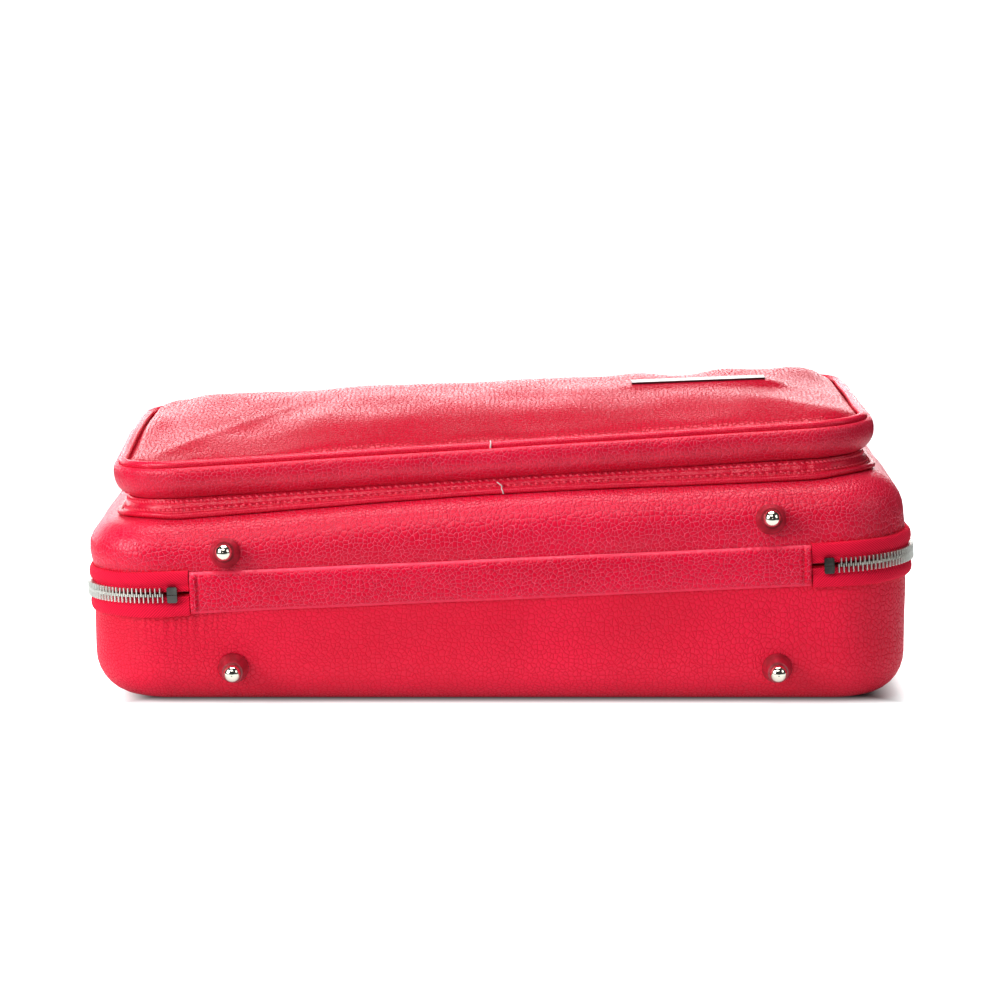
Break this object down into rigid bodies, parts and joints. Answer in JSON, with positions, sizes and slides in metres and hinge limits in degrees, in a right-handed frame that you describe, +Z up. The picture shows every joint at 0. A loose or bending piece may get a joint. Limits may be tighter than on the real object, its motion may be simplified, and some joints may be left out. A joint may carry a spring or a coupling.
{
  "type": "oboe case",
  "caption": "Red pebbled-leather instrument case with rounded corners, a zip round three sides, a leather hinge strip, ball studs, a piped lid pocket and a carrying handle.",
  "frame": {"origin": "Centre of the flat base that the closed case lies on.", "axes": "+X along the case to the taller end, -Y towards the hinge side with the four studs, +Z up."},
  "size_m": [0.2998, 0.2127, 0.1082],
  "materials": {
    "leather": "crimson pebbled leather, semi-gloss",
    "cone": "dark red moulded leather, smooth",
    "tape": "woven red zip tape, matte",
    "nickel": "polished nickel",
    "plate": "bare satin metal plate",
    "board": "moulded wood fibre board, unfinished",
    "cloth": "dark plush lining over foam"
  },
  "bodies": {
    "tray": {"tray_board": "board", "tray_leather": "leather", "tray_lining": "cloth", "lower_joint_bed": "cloth", "upper_joint_bed": "cloth", "bell_bed": "cloth", "reed_bed": "cloth", "zip_tape_lower": "tape", "zip_teeth_lower": "nickel", "zip_stops_lower": "nickel", "hinge_strip_lower": "leather", "tray_stud_cones": "cone", "tray_stud_balls": "nickel", "handle_tabs": "leather"},
    "lid": {"lid_board": "board", "lid_leather": "leather", "lid_lining": "cloth", "lid_pad": "cloth", "zip_tape_upper": "tape", "zip_teeth_upper": "nickel", "zip_stops_upper": "nickel", "hinge_strip_upper": "leather", "lid_stud_cones": "cone", "lid_stud_balls": "nickel", "pocket_base_piping": "leather", "pocket_foot": "leather", "pocket_gusset": "leather", "pocket_top_piping": "leather", "pocket_panel": "leather", "pocket_zip_tape": "tape", "pocket_zip_teeth": "nickel", "pocket_zip_stops": "nickel", "name_plate": "plate"},
    "handle": {"handle_rings": "nickel", "handle_grip": "leather"},
    "slider_left": {"zip_slider_left": "nickel"},
    "puller_left": {"zip_puller_left": "nickel"},
    "slider_right": {"zip_slider_right": "nickel"},
    "puller_right": {"zip_puller_right": "nickel"},
    "pocket_slider": {"pocket_slider": "nickel"},
    "pocket_puller": {"pocket_puller": "nickel"}
  },
  "joints": [
    {"name": "lid_open", "type": "hinge", "parent": "tray", "child": "lid", "pos_m": [0, -0.0857, 0.0457], "axis": [0.999, 0, 0.0454], "range_deg": [0, 120]},
    {"name": "handle_swing", "type": "hinge", "parent": "tray", "child": "handle", "pos_m": [0, 0.0862, 0.022], "axis": [1, 0, 0], "range_deg": [0, 80]},
    {"name": "slider_left_slide", "type": "slide", "parent": "tray", "child": "slider_left", "axis": [0.999, 0, 0.0454], "range_m": [-0.1064, 0]},
    {"name": "puller_left_swing", "type": "hinge", "parent": "slider_left", "child": "puller_left", "pos_m": [-0.00609, 0.08805, 0.04542], "axis": [-0.0454, 0, 0.999], "range_deg": [-130, 0]},
    {"name": "slider_right_slide", "type": "slide", "parent": "tray", "child": "slider_right", "axis": [0.999, 0, 0.0454], "range_m": [0, 0.1064]},
    {"name": "puller_right_swing", "type": "hinge", "parent": "slider_right", "child": "puller_right", "pos_m": [0.00609, 0.08805, 0.04598], "axis": [-0.0454, 0, 0.999], "range_deg": [0, 130]},
    {"name": "pocket_slider_slide", "type": "slide", "parent": "lid", "child": "pocket_slider", "axis": [0.998, 0, 0.0628], "range_m": [0, 0.1698]},
    {"name": "pocket_puller_swing", "type": "hinge", "parent": "pocket_slider", "child": "pocket_puller", "pos_m": [-0.08723, 0.07785, 0.08005], "axis": [-0.0628, 0, 0.998], "range_deg": [0, 170]}
  ]
}
